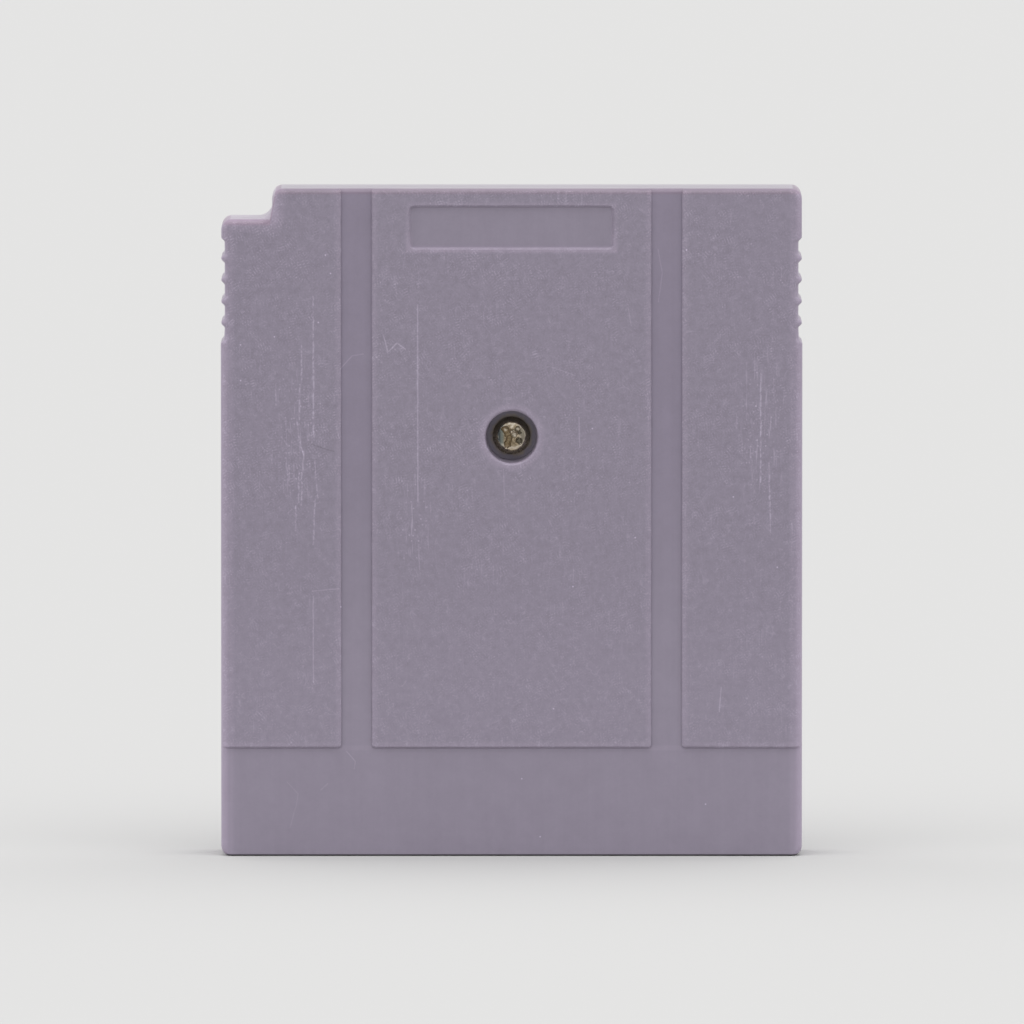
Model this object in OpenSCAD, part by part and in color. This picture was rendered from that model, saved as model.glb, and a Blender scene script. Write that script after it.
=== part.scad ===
// Handheld game cartridge: two moulded shells held by one screw, with a circuit board inside
// whose contact edge sits in an open mouth along the bottom.
// Frame: X across, Y through the thickness with the screw side at -Y, Z up from the bottom edge.
// All sizes are millimetres.

/* [Casing] */
// Width across the sides
case_w = 56.9; // [56:0.1:58]
// Height from the mouth edge to the top edge
case_h = 65.5; // [65:0.1:66]
// Thickness over the raised back pads
case_t = 7.8; // [7.6:0.1:8]
// Radius of the outline's corners
corner_r = 1.0; // [0.8:0.05:1.2]
// Rounding of the edge round the back
back_edge_r = 0.5; // [0.4:0.05:0.55]
// Rounding of the edge round the front
front_edge_r = 0.5; // [0.4:0.05:0.6]
// Thickness of the side and top walls
side_wall = 1.5; // [1.4:0.05:1.6]
// Thickness of the back wall under the pads
back_wall = 1.6; // [1.5:0.05:1.7]
// Thickness of the front wall
front_wall = 1.5; // [1.4:0.05:1.6]
// Depth of the parting plane, measured from mid thickness towards the back
parting_offset = 0.6; // [0.4:0.1:0.8]
// Chamfer of both shells along the parting line
seam_chamfer = 0.12; // [0.08:0.02:0.16]
// How much narrower each side is above the grips
shoulder = 0.06; // [0:0.01:0.1]
// Share of the edge rounding that the mouth edge keeps
mouth_edge_share = 0.25; // [0.2:0.05:1]

/* [Corner notch] */
// Width of the notch cut from one top corner
notch_w = 5.03; // [4.5:0.01:5.5]
// Height of the notch
notch_h = 3.0; // [2.9:0.1:3.4]
// Radius of its inner corner
notch_r = 1.38; // [1.2:0.01:1.6]

/* [Side grips] */
// Number of grooves on each side
grip_count = 5; // [4:1:5]
// Spacing of the grooves
grip_pitch = 2.105; // [2.05:0.005:2.2]
// Depth of a groove
grip_depth = 0.335; // [0.3:0.005:0.5]
// Height of the topmost groove above the bottom edge
grip_top_z = 59.7; // [59:0.05:59.8]
// Half width of a groove at the surface
grip_reach = 1.0; // [0.9:0.01:1.02]
// Half width of its flat bottom
grip_flat = 0.54; // [0.3:0.01:0.6]
// Length of a groove's run across the front, from the side
front_grip_run = 6.0; // [5:0.5:7]

/* [Back pads] */
// Centre of a channel from the middle of the case
channel_x = 15.17; // [14.5:0.01:16]
// Width of a channel
channel_w = 2.92; // [2.8:0.02:3.3]
// Height of the low strip along the bottom
strip_h = 10.63; // [10:0.01:12]
// Height of the pads above the channels
pad_step = 0.27; // [0.25:0.01:0.4]
// Distance from the outline to a pad's edge
pad_inset = 0.03; // [0.02:0.01:0.1]
// Radius of a pad's corners at the channels
pad_corner_r = 0.35; // [0.3:0.05:0.45]
// Radius of a pad's lower outer corner
pad_outer_r = 0.6; // [0.5:0.05:0.8]
// Rounding of a pad's edge at the channels and the strip
pad_edge_r = 0.25; // [0.2:0.01:0.25]

/* [Sunk panel on the back] */
// Width of the panel
panel_w = 19.7; // [18:0.1:22]
// Height of the panel
panel_h = 3.93; // [3.8:0.01:4.5]
// Height of its middle above the bottom edge
panel_z = 61.7; // [61:0.02:62]
// Depth of the panel
panel_depth = 0.25; // [0.25:0.05:0.35]
// Bevel round the panel
panel_bevel = 0.2; // [0.1:0.02:0.2]

/* [Screw] */
// Height of the screw above the bottom edge
screw_z = 41.15; // [40:0.05:42]
// Diameter of the hole round the head
screw_hole_d = 5.1; // [5:0.05:5.3]
// Thickness of the plastic under the head
screw_seat_t = 1.0; // [0.9:0.05:1.1]
// Diameter of the screw head
screw_head_d = 3.66; // [3.5:0.02:3.8]
// Height of the screw head
screw_head_h = 1.5; // [1.4:0.05:1.6]
// Diameter of the screw shank
screw_shank_d = 1.9; // [1.8:0.02:1.96]

/* [Front] */
// Width of the sunk label field
label_w = 43.0; // [42:0.5:44]
// Height of the label field
label_h = 37.6; // [37:0.2:38]
// Height of the label field's middle above the bottom edge
label_z = 31.2; // [31:0.1:31.4]
// Corner radius of the label field
label_r = 2.0; // [1.5:0.1:2.5]
// Width of the round-ended field above the label
title_w = 40.0; // [38:0.5:40]
// Height of that field
title_h = 7.2; // [7:0.1:7.4]
// Height of its middle above the bottom edge
title_z = 55.4; // [55:0.1:55.8]
// Depth of both fields
field_depth = 0.4; // [0.3:0.05:0.45]
// Width of the arrow that shows which way the case goes in
arrow_w = 6.0; // [5:0.5:7]
// Height of the arrow
arrow_h = 3.8; // [3.5:0.1:4.2]

/* [Circuit board] */
// Width of the board above its contact edge
board_w = 52.0; // [51.6:0.1:52.2]
// Width of the contact edge
tongue_w = 50.0; // [49.8:0.1:50]
// Thickness of the board
board_t = 0.8; // [0.7:0.05:0.85]
// Distance of the contact edge above the bottom of the case
board_z = 2.0; // [1.8:0.1:2.4]
// Top edge of the board above the bottom of the case
board_top_z = 57.0; // [56.5:0.1:58]
// Number of contacts
contact_count = 32; // [32:1:32]
// Spacing of the contacts
contact_pitch = 1.5; // [1.48:0.01:1.5]
// Width of a contact
contact_w = 1.0; // [0.9:0.05:1.1]
// Length of a contact
contact_l = 7.0; // [6.5:0.1:7.2]
// Diameter of the backup cell
cell_d = 16.0; // [15.8:0.1:16]
// Thickness of the backup cell
cell_t = 1.6; // [1.5:0.05:1.6]

/* [Hidden] */

$fn = 48;

case_plastic = "#8b8392";
board_green = "#2f6b46";
contact_gold = "#c9a54e";
chip_black = "#26262a";
lead_tin = "#b9bbbd";
cell_steel = "#c4c5c4";
screw_nickel = "#a39a84";
ceramic_tan = "#b8936a";
resistor_black = "#2b2b30";

half_w = case_w / 2;
pad_y = -case_t / 2;
front_y = case_t / 2;
channel_y = pad_y + pad_step;
back_inner_y = pad_y + back_wall;
front_inner_y = front_y - front_wall;
parting_y = -parting_offset;

// Planes of the board, which stands off the front wall
board_gap = 0.6;
board_front_y = front_inner_y - board_gap;
board_y = board_front_y - board_t;

// Cut reaching clear of a surface, and the overlap of a rib with the wall it grows from
clear = 5;
root = 0.2;

// Inside outline of the casing
inner_w = case_w - 2 * side_wall;
inner_top = case_h - side_wall;
cheek_top = 10.4;
mouth_w = 50.5;

// Steps in an arc of the outline
corner_steps = 6;
notch_steps = 8;

// Corner radius of the sunk panel, and the chamfer round the fields of the front
panel_corner_r = 0.3;
field_chamfer = 0.12;

// Points on an arc in X and Z, each with the direction into the material.
// inward is 1 where the material holds the arc's centre and -1 where it doesn't.
function arc(centre, r, from, to, steps, inward = 1) = [
    for (i = [0:steps])
        let (a = from + (to - from) * i / steps)
        [centre.x + r * cos(a), centre.y + r * sin(a), -inward * cos(a), -inward * sin(a)]
];

function reversed(list) = [for (i = [len(list) - 1:-1:0]) list[i]];
function mirrored(list) = [for (p = list) [-p[0], p[1], -p[2], p[3]]];

// Depth of a grip groove at a distance from its middle: flat, then a smooth S up to the surface
function groove(distance) =
    let (t = min(1, max(0, (abs(distance) - grip_flat) / (grip_reach - grip_flat))))
    grip_depth * (1 - t * t * (3 - 2 * t));

groove_stations = [0, 0.25, 0.5, 0.75, 1];

// Right side of the outline through all its grip grooves, from the lowest to the topmost.
// It steps in to the shoulder's width within the lowest groove.
function grip_side() = [
    for (g = [grip_count - 1:-1:0])
        for (half = [-1, 1])
            for (s = half < 0 ? reversed(groove_stations) : groove_stations)
                let (
                    d = half * (grip_flat + (grip_reach - grip_flat) * s),
                    side = g == grip_count - 1 && half < 0 ? half_w : half_w - shoulder
                )
                [side - groove(d), grip_top_z - g * grip_pitch + d, -1, 0]
];

// Points along the mouth edge, whose rounding is only a share of the other edges'
function mouth_edge(points) = [for (p = points) [p[0], p[1], p[2], mouth_edge_share * p[3]]];

// The case outline seen from the back, counterclockwise from its lower left corner
function case_outline() =
    let (
        r = corner_r,
        upper_x = half_w - shoulder - r,
        notch_x = notch_w - half_w,
        notch_z = case_h - notch_h
    )
    concat(
        mouth_edge(arc([r - half_w, r], r, 180, 270, corner_steps)),
        mouth_edge(arc([half_w - r, r], r, 270, 360, corner_steps)),
        grip_side(),
        arc([upper_x, case_h - r], r, 0, 90, corner_steps),
        arc([notch_x + r, case_h - r], r, 90, 180, corner_steps),
        arc([notch_x - notch_r, notch_z + notch_r], notch_r, 0, -90, notch_steps, -1),
        arc([-upper_x, notch_z - r], r, 90, 180, corner_steps),
        mirrored(reversed(grip_side()))
    );

// Outline round circles of radius r at the corners of a convex shape, counterclockwise
function rounded(centres, r, steps) = [
    for (i = [0:len(centres) - 1])
        let (
            before = centres[(i + len(centres) - 1) % len(centres)],
            here = centres[i],
            after = centres[(i + 1) % len(centres)],
            from = atan2(here.y - before.y, here.x - before.x) - 90,
            turn = (atan2(after.y - here.y, after.x - here.x) - 90 - from + 720) % 360
        )
        each arc(here, r, from, from + turn, steps)
];

function rounded_rectangle(middle_z, w, h, r, steps) =
    let (x = w / 2 - r, z = h / 2 - r)
    rounded(
        [[-x, middle_z - z], [x, middle_z - z], [x, middle_z + z], [-x, middle_z + z]],
        r, steps
    );

// Rings of a loft: the outline moved into the material by level[0], at the depth level[1]
function rings(outline, levels) = [
    for (level = levels)
        for (p = outline)
            [p[0] + level[0] * p[2], level[1], p[1] + level[0] * p[3]]
];

function skin(count, level_count) = [
    for (k = [0:level_count - 2])
        for (i = [0:count - 1])
            let (a = k * count, b = a + count, next = (i + 1) % count)
            each [[a + i, a + next, b + next], [a + i, b + next, b + i]]
];

// Solid through the rings, closed by fans round a hub that sees the whole outline
module hub_loft(outline, hub, levels) {
    n = len(outline);
    last = (len(levels) - 1) * n;
    first_hub = last + n;
    ends = [
        for (i = [0:n - 1])
            each [[first_hub, (i + 1) % n, i], [first_hub + 1, last + i, last + (i + 1) % n]]
    ];
    hubs = [for (level = [levels[0], levels[len(levels) - 1]]) [hub.x, level[1], hub.y]];
    polyhedron(concat(rings(outline, levels), hubs), concat(skin(n, len(levels)), ends));
}

// Solid through the rings of an outline made of two facing chains of as many points
module ladder_loft(chain, facing, levels) {
    outline = concat(chain, reversed(facing));
    n = len(outline);
    last = (len(levels) - 1) * n;
    ends = [
        for (i = [0:len(chain) - 2])
            let (a = i, b = i + 1, c = n - 2 - i, d = n - 1 - i)
            each [[c, b, a], [d, c, a], [last + a, last + b, last + c], [last + a, last + c, last + d]]
    ];
    polyhedron(rings(outline, levels), concat(skin(n, len(levels)), ends));
}

// A flat shape drawn in X and Z, carried from one depth to another
module along_y(from, to) {
    translate([0, to, 0])
        rotate([90, 0, 0])
            linear_extrude(to - from)
                children();
}

// A turned shape on the screw's axis, drawn as radius against depth
module turned_on_screw_axis(profile) {
    translate([0, 0, screw_z])
        rotate([-90, 0, 0])
            rotate_extrude()
                polygon(profile);
}

// A block between two corners
module block(low, high) {
    translate(low)
        cube(high - low);
}

module both_sides() {
    children();
    mirror([1, 0, 0])
        children();
}

// Rounding of the edge round the back: distance from the outline and depth below the face
back_edge = [for (a = [90, 72, 54, 36, 18, 0]) [back_edge_r * (1 - cos(a)), back_edge_r * (1 - sin(a))]];

// Levels of the back shell without its pads, from the channels round the edge to the seam
function back_levels() = [
    for (p = back_edge)
        [p.x, channel_y + p.y],
    [0, parting_y - seam_chamfer],
    [seam_chamfer, parting_y]
];

// Levels of the front shell from the seam to the front face
function front_levels() = [
    [seam_chamfer, parting_y],
    [0, parting_y + seam_chamfer],
    for (a = [0, 18, 36, 54, 72, 90])
        [front_edge_r * (1 - cos(a)), front_y - front_edge_r * (1 - sin(a))]
];

// Point inside the outline that sees all of it, grooves and notch included
outline_hub = [0, 55];

// Rounding of a pad's edge beside a channel: distance from the pad's wall and depth below its top
pad_edge = [for (a = [90, 65, 40, 15]) [pad_edge_r * (1 - cos(a)), pad_edge_r * (1 - sin(a))]];

// Depth at which the rounded edge below the channels passes under a pad's outer wall. The wall goes on
// below it and the pad's underside slopes inwards, so that all of it is buried.
wall_foot_y = channel_y + back_edge_r * (1 - sin(acos(1 - pad_inset / back_edge_r)));
pad_root_y = wall_foot_y + 0.2;

// Levels of the pads before they are parted, rounded along the outline as the case edge is
function pad_levels() = [
    for (p = back_edge)
        [pad_inset + p.x, pad_y + p.y],
    [pad_inset, wall_foot_y + 0.06],
    [pad_inset + 0.4, pad_root_y]
];

// Levels of the cutters that part the pads: straight, then flared round the pads' top edge
function between_pad_levels() = [
    [0, pad_root_y + 0.1],
    for (p = reversed(pad_edge))
        [-p.x, pad_y + p.y],
    [-pad_edge_r, pad_y - clear]
];

// One channel between two pads, running out through the top edge
module channel_cutter() {
    half = channel_w / 2;
    r = pad_corner_r;
    pad_top = case_h - pad_inset;
    x = half + r;
    // The pads lie outside this chain, so its normals point back into the channel
    right = concat(
        [[x, strip_h - 1, 0, 0]],
        arc([x, strip_h + r], r, -90, -180, corner_steps, -1),
        arc([x, pad_top - r], r, 180, 90, corner_steps, -1),
        [[x, case_h + clear, 0, 0]]
    );
    translate([channel_x, 0, 0])
        ladder_loft(right, mirrored(right), reversed(between_pad_levels()));
}

// The space below the pads, rounding the side pads' lower outer corners
module strip_cutter() {
    r = pad_outer_r;
    pad_side = half_w - pad_inset;
    right = concat(
        arc([pad_side - r, strip_h + r], r, -90, 0, corner_steps, -1),
        [[half_w + clear, strip_h + r, 0, -1]]
    );
    upper = concat(reversed(mirrored(right)), right);
    lower = [for (p = upper) [p[0], -clear, 0, 0]];
    ladder_loft(lower, upper, reversed(between_pad_levels()));
}

// The sunk panel near the top of the middle pad
module panel_cutter() {
    hub_loft(
        rounded_rectangle(panel_z, panel_w, panel_h, panel_corner_r, 3),
        [0, panel_z],
        [
            [-panel_bevel, pad_y - clear], [-panel_bevel, pad_y],
            [0, pad_y + panel_bevel], [0, pad_y + panel_depth]
        ]
    );
}

// A sunk field in the front face
module field_cutter(outline, hub, depth) {
    hub_loft(
        outline, hub,
        [
            [0, front_y - depth], [0, front_y - field_chamfer],
            [-field_chamfer, front_y], [-field_chamfer, front_y + clear]
        ]
    );
}

// Room between the walls, open at the mouth and stepped round the notch
module inside() {
    notch_x = notch_w + side_wall - half_w;
    notch_z = case_h - notch_h - side_wall;
    polygon([
        [-mouth_w / 2, -clear], [mouth_w / 2, -clear], [mouth_w / 2, cheek_top],
        [inner_w / 2, cheek_top], [inner_w / 2, inner_top], [notch_x, inner_top],
        [notch_x, notch_z], [-inner_w / 2, notch_z], [-inner_w / 2, cheek_top],
        [-mouth_w / 2, cheek_top]
    ]);
}

// Lap joint: bars on the back shell's rim that enter rebates in the front shell's rim
lap_t = 0.65;
lap_h = 1.0;
lap_low_z = 14;
lap_high_z = 47;
lap_top_x = [-19, 24];

// The bars, or with room added the rebates they enter
module lap_bars(from_y, room) {
    to_y = parting_y + lap_h + room;
    x = inner_w / 2;
    both_sides()
        block([x - room, from_y, lap_low_z - room], [x + lap_t + room, to_y, lap_high_z + room]);
    block(
        [lap_top_x[0] - room, from_y, inner_top - room],
        [lap_top_x[1] + room, to_y, inner_top + lap_t + room]
    );
}

// Ribs that hold the board from both sides, clear of what stands on it
rib_x = 24.2;
rib_t = 0.8;
rib_low_z = 14;
rib_high_z = 50;

module board_ribs(from_y, to_y) {
    both_sides()
        block([rib_x - rib_t / 2, from_y, rib_low_z], [rib_x + rib_t / 2, to_y, rib_high_z]);
}

// Screw boss of the back shell and the post it meets
seat_y = -1.1;
boss_r = 3.7;
post_r = 2.5;
boss_end_y = seat_y + screw_seat_t;
shank_room = 0.15;
pilot_room = 0.05;
pilot_depth = 3.0;
shank_l = 3.7;
hole_r = screw_hole_d / 2;
hole_draft = 0.15;
hole_rim_r = 0.3;

module screw_hole() {
    turned_on_screw_axis([
        [0, seat_y], [hole_r - hole_draft, seat_y], [hole_r, pad_y + hole_rim_r],
        for (a = [22.5, 45, 67.5, 90])
            [hole_r + hole_rim_r * (1 - cos(a)), pad_y + hole_rim_r * (1 - sin(a))],
        [hole_r + hole_rim_r, pad_y - 1], [0, pad_y - 1]
    ]);
    shank_hole_r = screw_shank_d / 2 + shank_room;
    turned_on_screw_axis([
        [0, seat_y - 0.5], [shank_hole_r, seat_y - 0.5],
        [shank_hole_r, boss_end_y + 0.5], [0, boss_end_y + 0.5]
    ]);
}

// The three pads, parted by the channels and ending above the strip
module pads() {
    difference() {
        hub_loft(case_outline(), outline_hub, pad_levels());
        both_sides()
            channel_cutter();
        strip_cutter();
    }
}

module back_shell() {
    color(case_plastic)
        difference() {
            union() {
                difference() {
                    union() {
                        hub_loft(case_outline(), outline_hub, back_levels());
                        pads();
                    }
                    panel_cutter();
                    along_y(back_inner_y, parting_y + 1)
                        inside();
                }
                lap_bars(parting_y - 0.6, 0);
                board_ribs(back_inner_y - root, board_y);
                turned_on_screw_axis([
                    [0, back_inner_y - root], [boss_r, back_inner_y - root],
                    [boss_r, boss_end_y], [0, boss_end_y]
                ]);
            }
            screw_hole();
        }
}

// Pins of the front shell that enter half-round notches in the board's sides
pin_x = 26.2;
pin_z = 20;
pin_r = 0.9;
pin_room = 0.3;
pin_end_y = 0.2;
shelf_z = 11.5;
shelf_h = 1.0;

// Groove across the front face that carries on a side groove, with a tapered inner end
module front_groove() {
    half = 0.84 * grip_reach;
    r = (half * half + grip_depth * grip_depth) / (2 * grip_depth);
    depth_left = r - grip_depth;
    translate([half_w + 1, front_y + depth_left, 0])
        rotate([0, -90, 0])
            rotate_extrude()
                polygon([
                    [0, 0], [r, 0], [r, front_grip_run], [r - 0.12, front_grip_run + 0.3],
                    [r - 0.45, front_grip_run + 0.55], [0, front_grip_run + 0.6]
                ]);
}

module front_shell() {
    arrow_r = 0.4;
    arrow_x = arrow_w / 2 - arrow_r;
    arrow_top = 8.4;
    arrow_depth = 0.3;
    color(case_plastic)
        difference() {
            union() {
                difference() {
                    hub_loft(case_outline(), outline_hub, front_levels());
                    along_y(parting_y - 1, front_inner_y)
                        inside();
                }
                board_ribs(board_front_y, front_inner_y + root);
                block([-rib_x, board_front_y, shelf_z], [rib_x, front_inner_y + root, shelf_z + shelf_h]);
                turned_on_screw_axis([
                    [0, boss_end_y], [post_r, boss_end_y],
                    [post_r, front_inner_y + root], [0, front_inner_y + root]
                ]);
                both_sides()
                    translate([pin_x, pin_end_y, pin_z])
                        rotate([-90, 0, 0])
                            cylinder(r = pin_r, h = front_inner_y + root - pin_end_y);
            }
            lap_bars(parting_y - 1, 0.1);
            pilot_r = screw_shank_d / 2 + pilot_room;
            turned_on_screw_axis([
                [0, boss_end_y - 1], [pilot_r, boss_end_y - 1],
                [pilot_r, boss_end_y + pilot_depth], [0, boss_end_y + pilot_depth + 0.3]
            ]);
            field_cutter(
                rounded_rectangle(label_z, label_w, label_h, label_r, 5), [0, label_z], field_depth
            );
            field_cutter(
                rounded([[title_h / 2 - title_w / 2, title_z], [title_w / 2 - title_h / 2, title_z]],
                    title_h / 2, 12),
                [0, title_z], field_depth
            );
            field_cutter(
                rounded([[0, arrow_top - arrow_h], [arrow_x, arrow_top], [-arrow_x, arrow_top]],
                    arrow_r, 4),
                [0, arrow_top - arrow_h / 3], arrow_depth
            );
            both_sides()
                for (g = [0:grip_count - 1])
                    translate([0, 0, grip_top_z - g * grip_pitch])
                        front_groove();
        }
}

// Cross recess of the head, turned to lie on the diagonals
recess_span = 1.9;
recess_w = 0.5;
recess_depth = 0.9;

module case_screw() {
    head_r = screw_head_d / 2;
    crown_r = 0.79 * head_r;
    top_y = seat_y - screw_head_h;
    shank_r = screw_shank_d / 2;
    shank_end = seat_y + shank_l;
    color(screw_nickel)
        difference() {
            turned_on_screw_axis([
                [0, top_y], [0.5 * crown_r, top_y + 0.05], [0.8 * crown_r, top_y + 0.17],
                [crown_r, top_y + 0.4], [head_r - 0.08, seat_y - 0.6], [head_r, seat_y - 0.45],
                [head_r, seat_y], [shank_r, seat_y], [shank_r, shank_end - 0.6],
                [shank_r - 0.5, shank_end], [0, shank_end]
            ]);
            for (a = [45, 135])
                translate([0, top_y, screw_z])
                    rotate([0, a, 0])
                        block(
                            [-recess_span / 2, -1, -recess_w / 2],
                            [recess_span / 2, recess_depth, recess_w / 2]
                        );
        }
}

tongue_top = cheek_top + 0.1;
post_room = 0.6;

module circuit_board() {
    x = board_w / 2;
    t = tongue_w / 2;
    bevel = 0.6;
    color(board_green)
        along_y(board_y, board_front_y)
            difference() {
                polygon([
                    [bevel - t, board_z], [t - bevel, board_z], [t, board_z + bevel],
                    [t, tongue_top], [x, tongue_top], [x, board_top_z], [-x, board_top_z],
                    [-x, tongue_top], [-t, tongue_top], [-t, board_z + bevel]
                ]);
                translate([0, screw_z])
                    circle(r = post_r + post_room);
                for (side = [-1, 1])
                    translate([side * pin_x, pin_z])
                        circle(r = pin_r + pin_room);
            }
}

contact_t = 0.1;
contact_z = board_z + 0.5;

module edge_contacts() {
    first_x = -(contact_count - 1) * contact_pitch / 2;
    color(contact_gold)
        for (i = [0:contact_count - 1])
            translate([first_x + i * contact_pitch, 0, 0])
                block(
                    [-contact_w / 2, board_y - contact_t, contact_z],
                    [contact_w / 2, board_y, contact_z + contact_l]
                );
}

// Chips: middle in X and Z, body length and width, body height, leads along each long side
rom = [[-11.5, 21.2], 20.6, 11.3, 2.4, 16];
ram = [[12.5, 20.6], 18.1, 8.4, 2.3, 14];
mapper = [[12.6, 34.6], 15.4, 7.5, 2.2, 12];
supervisor = [[12.6, 47.2], 5.0, 4.4, 1.6, 4];

lead_pitch = 1.27;
lead_w = 0.42;
lead_t = 0.2;
chip_stand = 0.1;

// Height of the middle of a lead above the board, where it leaves the body
function lead_height(chip) = chip_stand + 0.45 * chip[3];

// Moulded body with drafted sides, a flat band where the leads come out and a dimple at lead one
module chip_body(chip) {
    mid = chip[0];
    half = chip[2] / 2;
    draft = 0.2;
    low = board_y - chip_stand;
    band = [lead_height(chip) - lead_t / 2, lead_height(chip) + lead_t / 2];
    high = low - chip[3];
    section = [
        [low, half - draft], [board_y - band[0], half], [board_y - band[1], half], [high, half - draft]
    ];
    color(chip_black)
        difference() {
            translate([mid.x - chip[1] / 2, 0, mid.y])
                rotate([90, 0, 90])
                    linear_extrude(chip[1])
                        polygon(concat(section, [for (p = reversed(section)) [p[0], -p[1]]]));
            translate([mid.x - chip[1] / 2 + 1.2, high - 1, mid.y - half + 1.3])
                rotate([-90, 0, 0])
                    cylinder(r = 0.5, h = 1.1);
        }
}

// Gull-wing leads from the body's sides down to the board
module chip_leads(chip) {
    mid = chip[0];
    half = chip[2] / 2;
    h = lead_height(chip);
    reach = 1.4;
    // Distance out from the body against height above the board
    section = [
        [0, h + lead_t / 2], [0.5, h + lead_t / 2], [0.72, lead_t], [reach, lead_t],
        [reach, 0], [0.58, 0], [0.36, h - lead_t / 2], [0, h - lead_t / 2]
    ];
    first_x = mid.x - (chip[4] - 1) * lead_pitch / 2;
    color(lead_tin)
        for (side = [-1, 1])
            for (i = [0:chip[4] - 1])
                translate([first_x + i * lead_pitch - lead_w / 2, 0, mid.y])
                    rotate([90, 0, 90])
                        linear_extrude(lead_w)
                            polygon([for (p = section) [board_y - p[1], side * (half + p[0])]]);
}

module rom_chip() {
    chip_body(rom);
}

module rom_leads() {
    chip_leads(rom);
}

module ram_chip() {
    chip_body(ram);
}

module ram_leads() {
    chip_leads(ram);
}

module mapper_chip() {
    chip_body(mapper);
}

module mapper_leads() {
    chip_leads(mapper);
}

module supervisor_chip() {
    chip_body(supervisor);
}

module supervisor_leads() {
    chip_leads(supervisor);
}

// Backup cell, lying on its base tab with its top tab across it
cell_mid = [-14.5, 46.0];
tab_t = 0.15;
tab_w = 4.0;
cell_base_y = board_y - tab_t;
cell_top_y = cell_base_y - cell_t;

module coin_cell() {
    r = cell_d / 2;
    cap_r = r - 0.9;
    color(cell_steel)
        translate([cell_mid.x, 0, cell_mid.y])
            rotate([-90, 0, 0])
                rotate_extrude()
                    polygon([
                        [0, cell_top_y], [r - 0.25, cell_top_y], [r, cell_top_y + 0.25],
                        [r, cell_base_y - 0.35], [r - 0.2, cell_base_y - 0.2],
                        [cap_r, cell_base_y - 0.2], [cap_r, cell_base_y], [0, cell_base_y]
                    ]);
}

// A strip bent in Y and Z, centred on the cell
module cell_tab(section) {
    color(lead_tin)
        translate([cell_mid.x - tab_w / 2, 0, 0])
            rotate([90, 0, 90])
                linear_extrude(tab_w)
                    polygon(section);
}

module cell_base_tab() {
    low = cell_mid.y - 4;
    high = board_top_z - 1;
    cell_tab([[board_y, low], [cell_base_y, low], [cell_base_y, high], [board_y, high]]);
}

module cell_top_tab() {
    high = cell_mid.y + 3;
    leg = cell_mid.y - cell_d / 2 - 0.9;
    foot = leg - 1.6;
    outer_y = cell_top_y - tab_t;
    cell_tab([
        [cell_top_y, high], [outer_y, high], [outer_y, leg - tab_t], [cell_base_y, leg - tab_t],
        [cell_base_y, foot], [board_y, foot], [board_y, leg], [cell_top_y, leg]
    ]);
}

// Small parts: middle in X and Z, each lying along X on the board
capacitor_places = [[-20.5, 31.6], [-11.5, 31.6], [4.8, 28.6], [20.6, 28.6], [17.6, 41.8]];
capacitor_size = [2.0, 0.9, 1.25];
resistor_places = [[4.6, 50.6], [4.6, 53.2], [18.8, 50.6]];
resistor_size = [1.6, 0.5, 0.8];
end_l = 0.35;

// Bodies, or with ends true the tinned ends, of a row of small parts
module small_parts(places, size, ends) {
    x = size.x / 2;
    z = size.z / 2;
    for (place = places)
        translate([place.x, board_y, place.y])
            if (ends)
                both_sides()
                    block([x - end_l, -size.y, -z], [x, 0, z]);
            else
                block([end_l - x, -size.y, -z], [x - end_l, 0, z]);
}

module capacitors() {
    color(ceramic_tan)
        small_parts(capacitor_places, capacitor_size, false);
}

module capacitor_ends() {
    color(lead_tin)
        small_parts(capacitor_places, capacitor_size, true);
}

module resistors() {
    color(resistor_black)
        small_parts(resistor_places, resistor_size, false);
}

module resistor_ends() {
    color(lead_tin)
        small_parts(resistor_places, resistor_size, true);
}

module diode() {
    mid = [18.8, 54.0];
    color(chip_black)
        block([mid.x - 1.35, board_y - 1.1, mid.y - 0.8], [mid.x + 1.35, board_y, mid.y + 0.8]);
}

front_shell();
back_shell();
case_screw();
circuit_board();
edge_contacts();
rom_chip();
rom_leads();
ram_chip();
ram_leads();
mapper_chip();
mapper_leads();
supervisor_chip();
supervisor_leads();
coin_cell();
cell_top_tab();
cell_base_tab();
capacitors();
capacitor_ends();
resistors();
resistor_ends();
diode();
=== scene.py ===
"""Looks of a handheld game cartridge seen from its screw side: worn lilac-grey moulded shells round a
circuit board, held by one tarnished screw.

Frame: X across, Y through the thickness with the screw side at -Y, Z up from the bottom edge, in metres.
Patterns work in millimetres, which millimetres() gives from the Object coordinates.
"""

import math

import bmesh
import bpy
import numpy as np
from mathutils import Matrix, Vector


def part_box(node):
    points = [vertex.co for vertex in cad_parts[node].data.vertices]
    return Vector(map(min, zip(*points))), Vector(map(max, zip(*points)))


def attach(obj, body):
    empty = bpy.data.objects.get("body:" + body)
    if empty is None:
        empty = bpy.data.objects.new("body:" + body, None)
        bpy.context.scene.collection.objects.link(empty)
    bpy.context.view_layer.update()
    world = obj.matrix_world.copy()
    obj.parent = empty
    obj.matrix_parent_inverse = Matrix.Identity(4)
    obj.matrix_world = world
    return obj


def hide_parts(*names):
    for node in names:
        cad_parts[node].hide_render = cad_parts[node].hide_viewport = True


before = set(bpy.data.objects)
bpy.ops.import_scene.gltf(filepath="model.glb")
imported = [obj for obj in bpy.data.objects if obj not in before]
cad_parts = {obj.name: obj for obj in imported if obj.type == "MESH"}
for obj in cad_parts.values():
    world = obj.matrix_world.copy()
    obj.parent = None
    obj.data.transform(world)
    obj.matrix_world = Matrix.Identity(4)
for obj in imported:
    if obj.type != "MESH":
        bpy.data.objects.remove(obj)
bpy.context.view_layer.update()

MM = 0.001

case_lo, case_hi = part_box("back_shell")
screw_lo, screw_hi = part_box("case_screw")

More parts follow.
